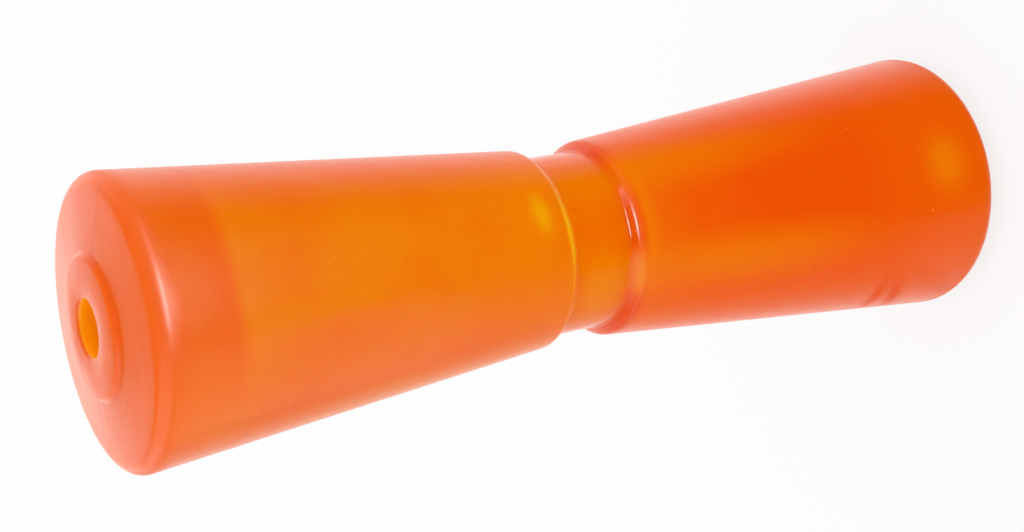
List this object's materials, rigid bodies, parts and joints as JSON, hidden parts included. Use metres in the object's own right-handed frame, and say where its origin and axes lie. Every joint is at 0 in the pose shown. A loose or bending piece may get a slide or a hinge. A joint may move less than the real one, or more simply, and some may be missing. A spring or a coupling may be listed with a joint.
{
  "type": "boat trailer keel roller",
  "caption": "Moulded polyurethane keel roller: a long cone each side of a narrow waist for the keel, a low hub on each end and a straight bore for the trailer's shaft.",
  "frame": {"origin": "centre of the lower hub's face, on the roller's axis, where the roller stands", "axes": "+Z along the bore, from the lower hub to the upper hub; +X in the plane of the mould's seam"},
  "size_m": [0.0853, 0.0852, 0.3048],
  "materials": {
    "polyurethane": "gloss"
  },
  "bodies": {
    "root": {"keel_roller": "polyurethane"}
  },
  "joints": []
}
